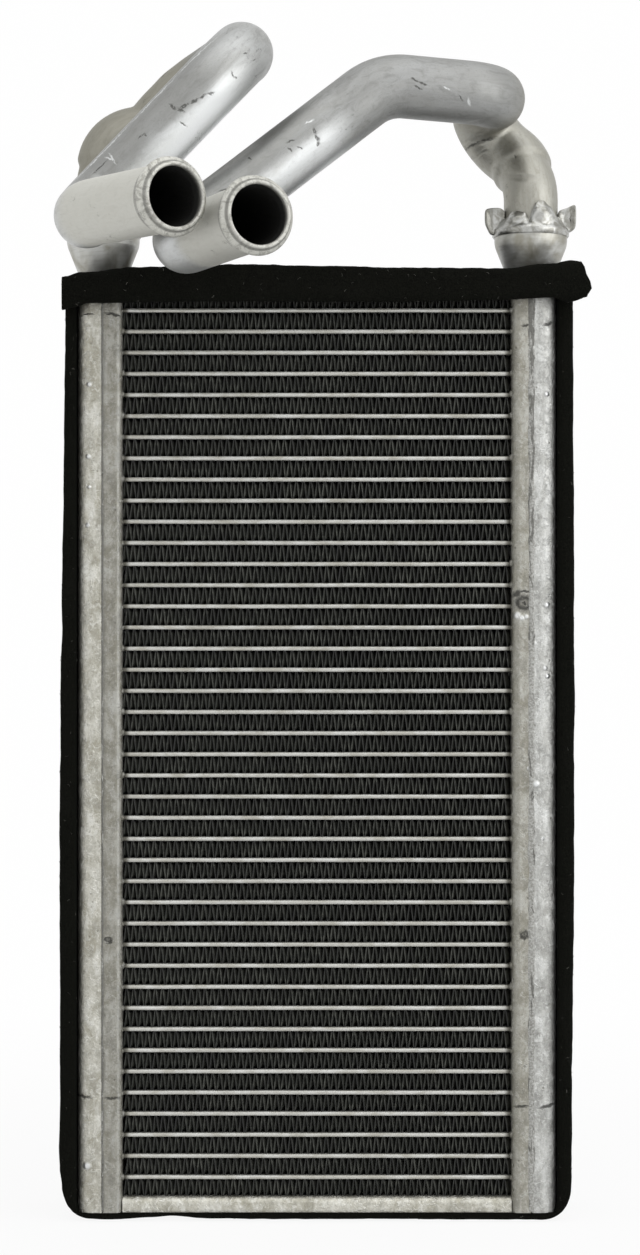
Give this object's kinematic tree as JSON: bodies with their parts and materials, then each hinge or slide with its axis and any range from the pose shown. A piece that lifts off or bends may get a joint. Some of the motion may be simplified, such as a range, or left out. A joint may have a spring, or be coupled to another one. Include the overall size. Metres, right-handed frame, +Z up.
{
  "type": "heater core",
  "caption": "Brazed aluminium heater core: flat tubes with folded fins between two end tanks, bent hose pipes on collared necks, and foam sealing strips round the edge.",
  "frame": {"origin": "middle of the seat under the lower foam strip, half way through the core's depth", "axes": "+X along the flat tubes towards the outlet tank, -Y towards the open pipe mouths, +Z up along the end tanks towards the pipes"},
  "size_m": [0.1375, 0.1079, 0.3077],
  "materials": {
    "core_tube": "satin, brazed",
    "fin": "matt, dark between the folds",
    "side_plate": "satin",
    "tank": "satin, mottled by brazing",
    "header": "matt",
    "neck": "satin, drawn",
    "seal": "matt",
    "collar": "stamped, satin",
    "pipe": "satin, drawn and bent",
    "foam": "matt felted foam"
  },
  "bodies": {
    "root": {"flat_tube_01": "core_tube", "flat_tube_02": "core_tube", "flat_tube_03": "core_tube", "flat_tube_04": "core_tube", "flat_tube_05": "core_tube", "flat_tube_06": "core_tube", "flat_tube_07": "core_tube", "flat_tube_08": "core_tube", "flat_tube_09": "core_tube", "flat_tube_10": "core_tube", "flat_tube_11": "core_tube", "flat_tube_12": "core_tube", "flat_tube_13": "core_tube", "flat_tube_14": "core_tube", "flat_tube_15": "core_tube", "flat_tube_16": "core_tube", "flat_tube_17": "core_tube", "flat_tube_18": "core_tube", "flat_tube_19": "core_tube", "flat_tube_20": "core_tube", "flat_tube_21": "core_tube", "flat_tube_22": "core_tube", "flat_tube_23": "core_tube", "flat_tube_24": "core_tube", "flat_tube_25": "core_tube", "flat_tube_26": "core_tube", "flat_tube_27": "core_tube", "flat_tube_28": "core_tube", "flat_tube_29": "core_tube", "flat_tube_30": "core_tube", "flat_tube_31": "core_tube", "flat_tube_32": "core_tube", "flat_tube_33": "core_tube", "flat_tube_34": "core_tube", "flat_tube_35": "core_tube", "flat_tube_36": "core_tube", "flat_tube_37": "core_tube", "flat_tube_38": "core_tube", "flat_tube_39": "core_tube", "flat_tube_40": "core_tube", "flat_tube_41": "core_tube", "flat_tube_42": "core_tube", "corrugated_fins": "fin", "bottom_side_plate": "side_plate", "top_side_plate": "side_plate", "bottom_end_caps": "tank", "left_header_plate": "header", "right_header_plate": "header", "left_end_tank": "tank", "right_end_tank": "tank", "left_neck_cup": "neck", "right_neck_cup": "neck", "left_seal_ring": "seal", "right_seal_ring": "seal", "left_retaining_collar": "collar", "right_retaining_collar": "collar", "inlet_pipe": "pipe", "outlet_pipe": "pipe", "side_foam": "foam", "top_foam": "foam"}
  },
  "joints": []
}
